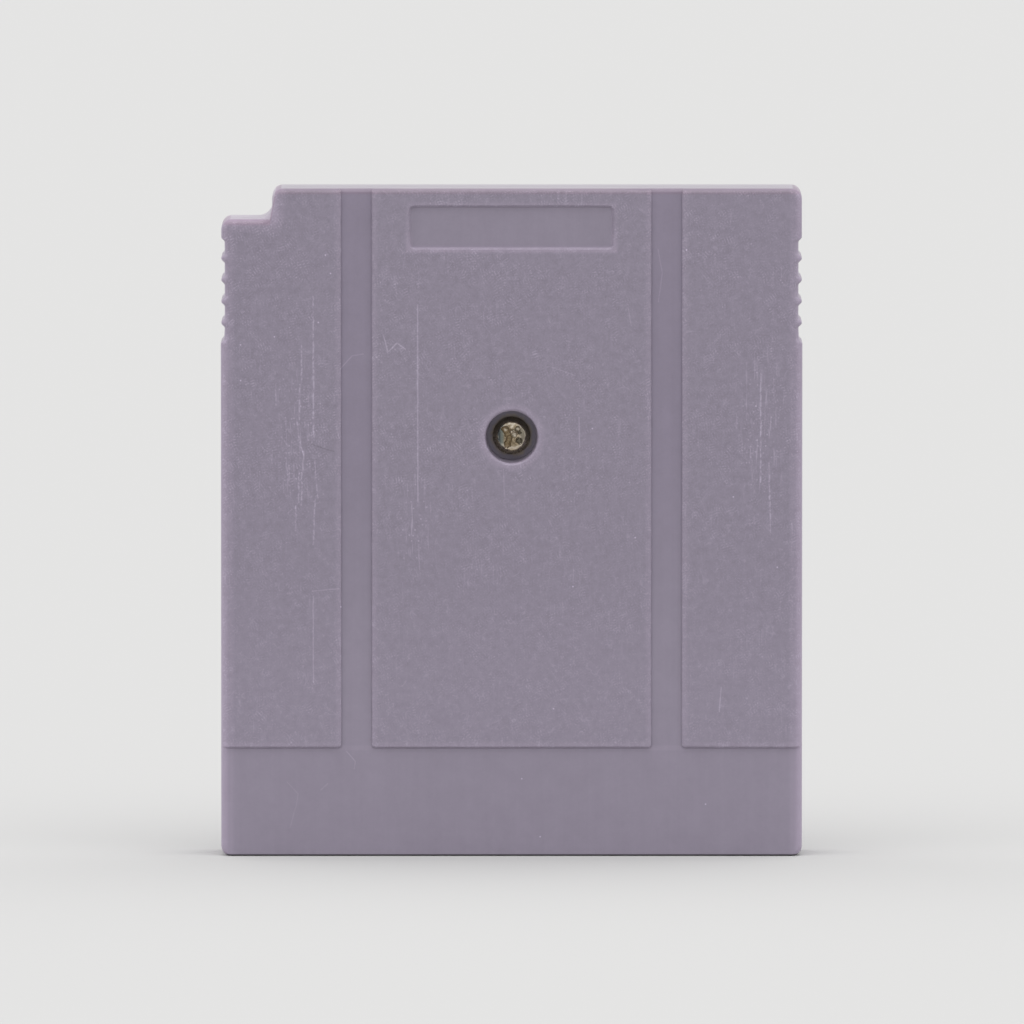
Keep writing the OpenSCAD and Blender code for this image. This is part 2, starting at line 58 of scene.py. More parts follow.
# Driving sizes of the casing in millimetres, from the frame and as in the part's source
HALF_W = case_hi.x / MM
CASE_H = case_hi.z / MM
PAD_Y = case_lo.y / MM
PAD_STEP = 0.27
CHANNEL_X = 15.17
CHANNEL_HALF = 1.46
STRIP_H = 10.63
NOTCH_W = 5.03
NOTCH_H = 3.0
HOLE_R = 2.85
PANEL_HALF_W = 10.05
PANEL_HALF_H = 2.165
PANEL_Z = 61.7

SCREW_X = (screw_lo.x + screw_hi.x) / 2 / MM
SCREW_Z = (screw_lo.z + screw_hi.z) / 2 / MM
SCREW_TOP_Y = screw_lo.y / MM
SCREW_END_Y = screw_hi.y / MM
HEAD_R = (screw_hi.x - screw_lo.x) / 2 / MM

# Paleness of the sweep behind and under the object
BACKGROUND = "#E5E5E3"
FLOOR_COLOUR = (0.5096, 0.508, 0.5053, 1.0)

# Settings that many nodes share
SMOOTH = {"interpolation_type": "SMOOTHSTEP"}
BLEND = {"data_type": "RGBA"}
TINT = {"data_type": "RGBA", "blend_type": "MULTIPLY"}


def linear(code):
    """Linear RGBA of an sRGB hex colour."""
    part = [int(code[i : i + 2], 16) / 255 for i in (1, 3, 5)]
    return tuple(c / 12.92 if c <= 0.04045 else ((c + 0.055) / 1.055) ** 2.4 for c in part) + (1.0,)


def add(tree, kind, sockets=(), out=0, **settings):
    """Adds a shader node, sets its properties, fills or links its sockets and returns one of its outputs.

    sockets is a dict of names or numbers, or a list in order. Only enabled sockets are looked at.
    """
    node = tree.nodes.new("ShaderNode" + kind)
    for name, value in settings.items():
        setattr(node, name, value)
    enabled = [s for s in node.inputs if s.enabled]
    pairs = sockets.items() if isinstance(sockets, dict) else enumerate(sockets)
    for key, value in pairs:
        socket = enabled[key] if isinstance(key, int) else next(s for s in enabled if s.name == key)
        if isinstance(value, bpy.types.NodeSocket):
            tree.links.new(value, socket)
        else:
            socket.default_value = value
    outputs = [s for s in node.outputs if s.enabled]
    return outputs[out] if outputs else node


def material(name):
    """A new material with an empty node tree."""
    made = bpy.data.materials.new(name)
    made.use_nodes = True
    made.node_tree.nodes.clear()
    return made, made.node_tree


def millimetres(t):
    """Object coordinates in millimetres."""
    place = add(t, "TexCoord", out=3)
    return add(t, "VectorMath", {0: place, "Scale": 1 / MM}, operation="SCALE")


def stroke(t, point, start, end, half_width, strength):
    """Soft mark along the segment from start to end in X and Z: strength on it, nothing half_width away."""
    a = Vector((start[0], 0, start[1]))
    run = Vector((end[0], 0, end[1])) - a
    from_a = add(t, "VectorMath", [point, a], operation="SUBTRACT")
    if run.length > 0:
        along = add(t, "VectorMath", [from_a, run / run.length_squared], out=0, operation="DOT_PRODUCT")
        along = add(t, "Clamp", [along, 0.0, 1.0])
        nearest = add(t, "VectorMath", {0: run, "Scale": along}, operation="SCALE")
        from_a = add(t, "VectorMath", [from_a, nearest], operation="SUBTRACT")
    distance = add(t, "VectorMath", [from_a], out=0, operation="LENGTH")
    return add(t, "MapRange", [distance, 0.0, half_width, strength, 0.0], **SMOOTH)


def total(t, values, operation="ADD"):
    """Sum, product or greatest of several values."""
    result = values[0]
    for value in values[1:]:
        result = add(t, "Math", [result, value], operation=operation)
    return result


def distance_from(t, value, middle):
    """How far a value is from a middle one, to either side."""
    off = add(t, "Math", [value, middle], operation="SUBTRACT")
    return add(t, "Math", [off], operation="ABSOLUTE")


def side_distance(t, x, z):
    """Distance in from the case's sides and its corner notch, in millimetres."""
    across = add(t, "Math", [x], operation="ABSOLUTE")
    side = add(t, "Math", [HALF_W, across], operation="SUBTRACT")
    notch_x = add(t, "Math", [x, HALF_W - NOTCH_W], operation="ADD")
    notch_z = add(t, "Math", [CASE_H - NOTCH_H, z], operation="SUBTRACT")
    outside = [add(t, "Math", [v, 0.0], operation="MAXIMUM") for v in (notch_x, notch_z)]
    notch = add(t, "CombineXYZ", outside)
    notch = add(t, "VectorMath", [notch], out=0, operation="LENGTH")
    return add(t, "Math", [side, notch], operation="MINIMUM")


# Long marks on the back, as (X, Z) of both ends in millimetres, half width and strength
MARKS = [
    ((-9.19, 54.1), (-9.17, 34.8), 0.12, 0.46),
    ((-12.54, 51.2), (-12.1, 49.5), 0.11, 0.40),
    ((-12.1, 49.5), (-11.2, 50.4), 0.11, 0.50),
    ((-11.2, 50.4), (-10.4, 49.8), 0.11, 0.46),
    ((6.6, 43.1), (6.65, 40.2), 0.10, 0.36),
    ((-0.8, 38.0), (-0.7, 35.3), 0.10, 0.22),
    ((-9.1, 30.6), (-9.0, 28.2), 0.10, 0.24),
    ((3.95, 48.0), (6.2, 47.2), 0.09, 0.24),
    ((11.4, 53.8), (11.7, 52.1), 0.09, 0.24),
    ((-19.42, 25.5), (-19.4, 17.1), 0.11, 0.36),
    ((-19.5, 26.05), (-16.9, 26.3), 0.10, 0.32),
    ((20.5, 16.6), (20.35, 14.2), 0.10, 0.42),
    ((-16.7, 47.9), (-15.6, 49.1), 0.10, 0.30),
    ((-15.6, 49.1), (-14.5, 49.3), 0.10, 0.26),
    ((14.3, 59.6), (14.75, 57.2), 0.09, 0.24),
    ((14.75, 57.2), (14.35, 54.4), 0.09, 0.22),
    ((-16.2, 10.3), (-15.3, 9.3), 0.09, 0.30),
    ((-15.3, 9.3), (-15.4, 8.6), 0.09, 0.26),
    ((-22.0, 7.3), (-20.9, 6.1), 0.10, 0.15),
    ((-20.9, 6.1), (-21.1, 4.9), 0.10, 0.15),
    ((-21.1, 4.9), (-21.7, 2.8), 0.10, 0.13),
    ((-18.0, 7.1), (-18.7, 6.5), 0.10, 0.20),
]
# Frayed marks on the outer pads, broken into dots
FRAYED = [
    ((-19.4, 54.9), (-19.37, 40.9), 0.14, 0.40),
    ((-19.2, 37.9), (-18.95, 35.2), 0.13, 0.42),
    ((-19.25, 34.9), (-19.4, 30.6), 0.13, 0.38),
    ((-20.55, 50.1), (-20.55, 46.8), 0.13, 0.40),
    ((-20.75, 46.3), (-20.75, 42.9), 0.13, 0.40),
    ((-21.0, 42.9), (-20.8, 40.9), 0.12, 0.50),
    ((-20.8, 40.9), (-20.4, 39.4), 0.12, 0.46),
    ((-20.8, 37.9), (-20.85, 34.8), 0.12, 0.42),
    ((-20.5, 37.7), (-20.55, 34.5), 0.12, 0.42),
    ((-21.13, 34.4), (-21.15, 32.0), 0.12, 0.54),
    ((-21.8, 38.4), (-21.75, 36.5), 0.12, 0.34),
    ((-21.3, 38.4), (-21.3, 37.0), 0.11, 0.32),
    ((-22.5, 41.2), (-21.9, 40.2), 0.11, 0.32),
    ((-23.4, 39.9), (-23.5, 38.4), 0.11, 0.32),
    ((-23.1, 46.3), (-23.05, 44.3), 0.11, 0.34),
    ((24.4, 47.8), (24.35, 36.8), 0.13, 0.48),
    ((25.2, 38.4), (25.35, 31.8), 0.12, 0.42),
]
# One dark cut across them
CUT = ((-19.57, 40.45), (-17.36, 39.73), 0.13, -0.17)
# Specks of white dust: X and Z in millimetres
SPECKS = [
    (12.1, 31.3), (6.0, 26.5), (4.1, 14.5), (7.9, 42.0), (-16.7, 24.5), (-18.2, 59.0), (1.0, 7.6),
    (2.8, 1.9), (19.0, 5.1), (-1.09, 39.6), (0.81, 42.92), (23.9, 44.2), (21.7, 35.3), (26.0, 28.4),
    (-23.2, 51.0), (-26.5, 50.2), (-26.5, 46.7), (-18.9, 52.4), (-17.7, 57.2), (17.1, 59.5),
]
# Scuffed patches: middle X and Z, reach in X and Z
SCUFFS = [(-20.9, 41.0, 3.4, 12.0), (24.4, 42.5, 4.0, 12.0), (-9.5, 33.0, 2.6, 8.0)]

# How much each kind of wear lightens the plastic, as a share of its own colour
HAIR_STRENGTH = 0.42
CURL_STRENGTH = 0.16
RUB_STRENGTH = 0.42
SPECK_STRENGTH = 0.50

# Colours of the plastic and of what lies on it: brown dirt, paler than the plastic so that it
# also paints light into the shaded screw hole, and grey dust, which also paints a sheen on the top
PLASTIC = "#8B8393"
BROWN_DIRT_AND_PAINTED_LIGHT = "#A8977D"
GREY_DUST_AND_SHEEN = "#C9C4C8"

# What multiplies that colour: painted light in the edges, painted shade high in the channels, a
# painted shadow at the mouth edge and redder painted shade below the top
PAINTED_EDGE_LIGHT = (2.0, 1.86, 1.92, 1.0)
PAINTED_CHANNEL_SHADE = (0.94, 0.925, 0.955, 1.0)
PAINTED_CONTACT_SHADOW = (0.22, 0.22, 0.22, 1.0)
REDDER_PAINTED_SHADE = (0.965, 0.885, 0.89, 1.0)


def sheared_plane(t, x, y, z):
    """Place in the plane of X and Z, which the depth shears so that a flat pattern doesn't run into
    stripes on the sides."""
    sheared_x = add(t, "Math", [y, 0.7, x], operation="MULTIPLY_ADD")
    sheared_z = add(t, "Math", [y, 0.9, z], operation="MULTIPLY_ADD")
    return add(t, "CombineXYZ", [sheared_x, sheared_z, 0.0])


# Sets of hairlines: bundles per millimetre, direction in radians, how well they keep to it, and shift
HAIRLINES = ((0.9, 0.5, 0.7, 0.0), (1.1, 2.0, 0.7, 50.0), (1.4, 0.0, 0.0, 90.0))
HAIRLINES_PER_MM = 3.8


def hairlines(t, plane):
    """Hairlines from handling, 0.1 mm wide and up to one long, in every direction but most along two.

    Each set is wave noise of which only the crests are kept. The sum has its mean taken off.
    """
    sets = []
    for scale, turned, order, shift in HAIRLINES:
        place = add(t, "VectorMath", [plane, (shift, shift, 0.0)], operation="ADD")
        waves = {"Vector": place, "Scale": scale, "Frequency": HAIRLINES_PER_MM / scale}
        hair = add(t, "TexGabor", {**waves, "Anisotropy": order, "Orientation": turned})
        sets.append(add(t, "MapRange", [hair, 0.56, 0.96, 0.0, 1.0], **SMOOTH))
    return add(t, "Math", [total(t, sets), 0.17], operation="SUBTRACT")


def pale_curls(t, mm):
    """Pale curls: contour lines of warped noise, broken into strokes 1 to 3 mm long."""
    curls = []
    for size, shift, width in ((1.1, 0.0, 0.030), (1.9, 40.0, 0.020), (0.7, 80.0, 0.045)):
        place = add(t, "VectorMath", [mm, (shift, 0.0, -shift)], operation="ADD")
        field = add(t, "TexNoise", {"Vector": place, "Scale": 1 / size, "Detail": 1.0, "Distortion": 1.4})
        line = add(t, "MapRange", [distance_from(t, field, 0.5), 0.0, width, 1.0, 0.0], **SMOOTH)
        cover = add(t, "TexNoise", {"Vector": place, "Scale": 1.1 / size, "Detail": 1.0})
        cover = add(t, "MapRange", [cover, 0.54, 0.62], **SMOOTH)
        curls.append(add(t, "Math", [line, cover], operation="MULTIPLY"))
    return total(t, curls, "MAXIMUM")


def upright_rubs(t, mm):
    """Upright rub marks 0.15 mm wide: the peaks of noise drawn out along Z."""
    drawn = add(t, "VectorMath", [mm, (1.0, 1.0, 0.09)], operation="MULTIPLY")
    rubs = add(t, "TexNoise", {"Vector": drawn, "Scale": 1 / 0.26, "Detail": 2.0, "Roughness": 0.6})
    return add(t, "MapRange", [rubs, 0.55, 0.70], **SMOOTH)


def pale_specks(t, plane):
    """Pale points 0.1 to 0.2 mm wide, one to a cell of 0.55 mm, each as bright as its cell's number."""
    sown = {"Vector": plane, "Scale": 1 / 0.55}
    cells, shades = (add(t, "TexVoronoi", sown, out=i, voronoi_dimensions="2D") for i in (0, 1))
    shades = add(t, "MapRange", [shades, 0.40, 0.85], **SMOOTH)
    specks = add(t, "MapRange", [cells, 0.06, 0.22, 1.0, 0.0], **SMOOTH)
    return add(t, "Math", [specks, shades], operation="MULTIPLY")


def scuffed_places(t, flat, broad, worn_back):
    """How scuffed a place is: a little where the broad mottling is pale, and up to 1 inside SCUFFS."""
    patches = [add(t, "MapRange", [broad, 0.45, 0.75, 0.10, 0.45], **SMOOTH)]
    for mid_x, mid_z, reach_x, reach_z in SCUFFS if worn_back else ():
        off = add(t, "VectorMath", [flat, (mid_x, 0.0, mid_z)], operation="SUBTRACT")
        off = add(t, "VectorMath", [off, (1 / reach_x, 0.0, 1 / reach_z)], operation="MULTIPLY")
        off = add(t, "VectorMath", [off], out=0, operation="LENGTH")
        patches.append(add(t, "MapRange", [off, 0.1, 1.0, 1.0, 0.0], **SMOOTH))
    return total(t, patches, "MAXIMUM")


def single_marks(t, mm, flat):
    """The marks and specks that are placed one by one. Noise bends the marks and breaks them, the
    frayed ones into dots."""
    wander = add(t, "TexNoise", {"Vector": mm, "Scale": 1 / 1.3, "Detail": 2.0}, out=1)
    wander = add(t, "VectorMath", [wander, (0.5, 0.5, 0.5)], operation="SUBTRACT")
    breaks = add(t, "TexNoise", {"Vector": mm, "Scale": 1 / 0.35, "Detail": 1.0})
    marks = []
    kinds = ((MARKS, 0.12, (0.36, 0.52, 0.65, 1.0)), (FRAYED, 0.22, (0.40, 0.60, 0.25, 1.2)))
    for places, reach, limits in kinds:
        wandering = add(t, "VectorMath", [wander, (reach, 0.0, reach), flat], operation="MULTIPLY_ADD")
        kept = add(t, "MapRange", [breaks, *limits], **SMOOTH)
        lines = total(t, [stroke(t, wandering, *place) for place in places], "MAXIMUM")
        marks.append(add(t, "Math", [lines, kept], operation="MULTIPLY"))
    marks.append(stroke(t, wandering, *CUT))
    marks += [stroke(t, flat, speck, speck, 0.12, 1.2) for speck in SPECKS]
    return total(t, marks)


def painted_side_light(t, x, z):
    """Painted light in the sides' edges: over the outer half millimetre, and faintly for a millimetre more.
    """
    inside = side_distance(t, x, z)
    near = add(t, "MapRange", [inside, 0.35, 0.85, 0.22, 0.0], **SMOOTH)
    far = add(t, "MapRange", [inside, 0.95, 1.45, 0.11, 0.0], **SMOOTH)
    return add(t, "Math", [near, far], operation="ADD")


def painted_hole_light(t, from_screw):
    """Painted light in the lip of the screw hole, from its rounding outwards."""
    lip = add(t, "MapRange", [from_screw, HOLE_R - 0.35, HOLE_R - 0.24], **SMOOTH)
    around = add(t, "MapRange", [from_screw, HOLE_R - 0.1, HOLE_R + 0.7, 0.22, 0.0], **SMOOTH)
    return add(t, "Math", [lip, around], operation="MULTIPLY")


def painted_pad_light(t, across, z, raised):
    """Painted light in the pads' edges along the channels and the strip, and in the foot of their step."""
    from_channel = distance_from(t, across, CHANNEL_X)
    from_channel = add(t, "Math", [from_channel, CHANNEL_HALF], operation="SUBTRACT")
    from_strip = add(t, "Math", [z, STRIP_H], operation="SUBTRACT")
    near = add(t, "Math", [from_channel, from_strip], operation="MINIMUM")
    edge = add(t, "MapRange", [near, 0.3, 0.8, 0.10, 0.0], **SMOOTH)
    edge = add(t, "Math", [edge, raised], operation="MULTIPLY")
    foot = add(t, "MapRange", [distance_from(t, z, STRIP_H), 0.15, 0.35, 0.06, 0.0], **SMOOTH)
    return add(t, "Math", [edge, foot], operation="ADD")


def painted_panel_light(t, across, z):
    """Painted light in the sunk panel's rim, strongest along its lower bevel."""
    beside = add(t, "Math", [across, PANEL_HALF_W], operation="SUBTRACT")
    beyond = add(t, "Math", [distance_from(t, z, PANEL_Z), PANEL_HALF_H], operation="SUBTRACT")
    rim = add(t, "Math", [beside, beyond], operation="MAXIMUM")
    rim = add(t, "Math", [rim], operation="ABSOLUTE")
    lower = add(t, "MapRange", [z, PANEL_Z, PANEL_Z - PANEL_HALF_H, 0.10, 0.26])
    return add(t, "MapRange", [rim, 0.10, 0.5, lower, 0.0], **SMOOTH)


def back_dirt_and_painted_shade(t, colour, across, z, low, middle, from_screw):
    """Painted shade in the channels, darker towards the top, a painted shadow along the mouth edge, and
    brown dirt round the screw, paler than the plastic so that it also paints light into the shaded hole.
    """
    # Painted shade in the channels, darker towards the top
    shade = add(t, "MapRange", [z, 18.0, 45.0], **SMOOTH)
    outer = add(t, "MapRange", [across, 11.0, 12.0])
    shade = total(t, [shade, low, outer], "MULTIPLY")
    colour = add(t, "Mix", {"Factor": shade, "A": colour, "B": PAINTED_CHANNEL_SHADE}, **TINT)
    # Painted shadow along the mouth edge, where the case stands on the floor
    darkening = add(t, "MapRange", [z, 0.15, 0.22, 1.0, 0.0], **SMOOTH)
    colour = add(t, "Mix", {"Factor": darkening, "A": colour, "B": PAINTED_CONTACT_SHADOW}, **TINT)
    # Brown dirt round the screw, paler than the plastic, so that it also paints light into the shaded hole
    dirt_and_painted_light = add(t, "Math", [middle, 0.8, from_screw], operation="MULTIPLY_ADD")
    dirt_and_painted_light = add(t, "MapRange", [dirt_and_painted_light, 2.2, 2.6, 0.75, 0.0], **SMOOTH)
    return add(t, "Mix", {"Factor": dirt_and_painted_light, "A": colour, "B": linear(BROWN_DIRT_AND_PAINTED_LIGHT)}, **BLEND)


def top_dust_sheen_and_shade(t, colour, x, z):
    """Grey dust with a painted sheen on the top and on the notch's ledge, and redder painted shade in the
    rounding below them.
    """
    above = add(t, "Math", [z, CASE_H], operation="SUBTRACT")
    ledge = add(t, "MapRange", [x, 0.4 + NOTCH_W - HALF_W, NOTCH_W - HALF_W - 0.2, 0.0, NOTCH_H])
    above = add(t, "Math", [above, ledge], operation="ADD")
    # Painted shade, redder, in the rounding just below the top
    shaded_rounding = add(t, "MapRange", [above, -0.70, -0.38], **SMOOTH)
    shaded_rounding = total(t, [shaded_rounding, add(t, "MapRange", [above, -0.03, 0.0, 1.0, 0.0])], "MULTIPLY")
    colour = add(t, "Mix", {"Factor": shaded_rounding, "A": colour, "B": REDDER_PAINTED_SHADE}, **TINT)
    # Grey dust on the top, which also stands in for a painted sheen there
    dust_and_sheen = add(t, "MapRange", [above, -0.025, -0.005, 0.0, 0.28], **SMOOTH)
    return add(t, "Mix", {"Factor": dust_and_sheen, "A": colour, "B": linear(GREY_DUST_AND_SHEEN)}, **BLEND)


def moulded_abs(name, worn_back):
    """Injection-moulded ABS, dull from a fine spark-eroded mould grain and years of handling.

    The grain gives a soft broad sheen, handling leaves hairlines in every direction, pale curls and
    upright rub marks, and the edges are painted lighter and pinker, standing in for light that passes
    into them.
    """
    made, t = material(name)
    mm = millimetres(t)
    x, y, z = (add(t, "SeparateXYZ", [mm], out=i) for i in range(3))
    flat = add(t, "VectorMath", [mm, (1.0, 0.0, 1.0)], operation="MULTIPLY")
    plane = sheared_plane(t, x, y, z)

    # 1 on the raised pads and the front face, 0 in the channels and on the strip
    depth = add(t, "Math", [y], operation="ABSOLUTE")
    raised = add(t, "MapRange", [depth, abs(PAD_Y) - PAD_STEP + 0.08, abs(PAD_Y) - 0.1], **SMOOTH)
    low = add(t, "Math", [1.0, raised], operation="SUBTRACT")

    # Mould grain of a quarter of a millimetre, with mottling of about one and of three millimetres
    fine = add(t, "TexNoise", {"Vector": mm, "Scale": 1 / 0.24, "Detail": 2.0, "Roughness": 0.9})
    middle = add(t, "TexNoise", {"Vector": mm, "Scale": 1 / 0.8, "Detail": 2.0, "Roughness": 0.6})
    broad = add(t, "TexNoise", {"Vector": mm, "Scale": 1 / 3.0, "Detail": 3.0, "Roughness": 0.6})

    # Wear: hairlines are thickest where the mottling is pale and over the upper half
    calm = add(t, "MapRange", [z, 25.0, 42.0, 0.65, 1.0], **SMOOTH)
    busy = add(t, "MapRange", [broad, 0.40, 0.58, 0.2, 1.0], **SMOOTH)
    hairs = total(t, [hairlines(t, plane), busy, calm, raised, HAIR_STRENGTH], "MULTIPLY")
    scuffed = scuffed_places(t, flat, broad, worn_back)
    marks = [
        add(t, "Math", [pale_curls(t, mm), CURL_STRENGTH], operation="MULTIPLY"),
        total(t, [upright_rubs(t, mm), scuffed, RUB_STRENGTH], "MULTIPLY"),
        total(t, [pale_specks(t, plane), scuffed, SPECK_STRENGTH], "MULTIPLY"),
    ]
    marks = add(t, "Math", [total(t, marks), raised], operation="MULTIPLY")
    if worn_back:
        marks = add(t, "Math", [marks, single_marks(t, mm, flat)], operation="ADD")

    # Light and dark of the plain plastic, with faint upright drag lines in the channels and the strip
    grain = add(t, "Math", [fine, 0.5], operation="SUBTRACT")
    grain = total(t, [grain, calm, add(t, "MapRange", [raised, 0.0, 1.0, 0.10, 0.30])], "MULTIPLY")
    mottle = add(t, "Math", [middle, 0.5], operation="SUBTRACT")
    mottle = total(t, [mottle, add(t, "MapRange", [raised, 0.0, 1.0, 0.10, 0.27])], "MULTIPLY")
    cloud = add(t, "Math", [broad, 0.5], operation="SUBTRACT")
    cloud = add(t, "Math", [cloud, 0.13], operation="MULTIPLY")
    dragged = add(t, "VectorMath", [mm, (1.0, 1.0, 0.03)], operation="MULTIPLY")
    dragged = add(t, "TexNoise", {"Vector": dragged, "Scale": 1 / 0.8, "Detail": 2.0, "Roughness": 0.7})
    dragged = add(t, "Math", [dragged, 0.5], operation="SUBTRACT")
    dragged = total(t, [dragged, low, 0.09], "MULTIPLY")
    # Paler towards the mouth: a painted sheen where the slot has rubbed the case
    painted_sheen = add(t, "MapRange", [z, 30.0, 13.0, 0.0, 0.07], **SMOOTH)
    level = total(t, [1.0, grain, mottle, cloud, dragged, hairs, marks, painted_sheen])
    colour = add(t, "VectorMath", {0: linear(PLASTIC)[:3], "Scale": level}, operation="SCALE")

    # Painted light, lighter and pinker, in the edges and, on the back, in the hole's lip, the pads' edges
    # and the panel's rim
    painted_light = [painted_side_light(t, x, z)]
    if worn_back:
        across = add(t, "Math", [x], operation="ABSOLUTE")
        from_screw = add(t, "VectorMath", [flat, (SCREW_X, 0.0, SCREW_Z)], operation="SUBTRACT")
        from_screw = add(t, "VectorMath", [from_screw], out=0, operation="LENGTH")
        painted_light += [painted_hole_light(t, from_screw), painted_pad_light(t, across, z, raised), painted_panel_light(t, across, z)]
    colour = add(t, "Mix", {"Factor": total(t, painted_light), "A": colour, "B": PAINTED_EDGE_LIGHT}, **TINT)
    if worn_back:
        colour = back_dirt_and_painted_shade(t, colour, across, z, low, middle, from_screw)
    colour = top_dust_sheen_and_shade(t, colour, x, z)

    height = total(t, [fine, add(t, "Math", [middle, 0.8], operation="MULTIPLY")])
    height = total(t, [height, add(t, "MapRange", [raised, 0.0, 1.0, 0.25, 1.0])], "MULTIPLY")
    bump = add(t, "Bump", {"Strength": 0.25, "Distance": 0.012 * MM, "Height": height})
    shine = add(t, "Math", [marks, 0.5, 0.36], operation="MULTIPLY_ADD")
    plastic = add(
        t, "BsdfPrincipled", {"Base Color": colour, "Roughness": shine, "IOR": 1.53, "Normal": bump}
    )
    add(t, "OutputMaterial", {"Surface": plastic})
    return made


# Painted highlights on the screw's crown, as (across, up) of both ends from its middle in millimetres,
# half width and strength: painted reflections in two arcs along the top and the bottom, painted glints
# and pale bare metal in the recess, and a pale fleck on the flank
PAINTED_SCREW_HIGHLIGHTS = [
    ((-0.80, 1.00), (-0.30, 1.23), 0.13, 0.6),
    ((-0.30, 1.23), (0.45, 1.20), 0.20, 0.9),
    ((0.45, 1.19), (0.90, 0.95), 0.16, 0.8),
    ((0.30, 1.18), (0.02, 0.92), 0.22, 1.1),
    ((-0.95, -0.80), (-0.60, -1.10), 0.22, 0.55),
    ((-0.60, -1.10), (0.40, -1.16), 0.26, 0.60),
    ((0.40, -1.16), (1.20, -0.72), 0.28, 0.65),
    ((1.20, -0.72), (1.28, -0.45), 0.20, 0.5),
    ((-0.61, 0.63), (-0.59, 0.60), 0.16, 1.0),
    ((0.54, 0.72), (0.68, 0.66), 0.24, 0.95),
    ((0.12, 0.36), (0.38, 0.05), 0.36, 0.75),
    ((0.66, 0.02), (0.80, -0.08), 0.16, 0.45),
    ((-1.62, -0.55), (-1.62, -0.50), 0.12, 0.9),
]


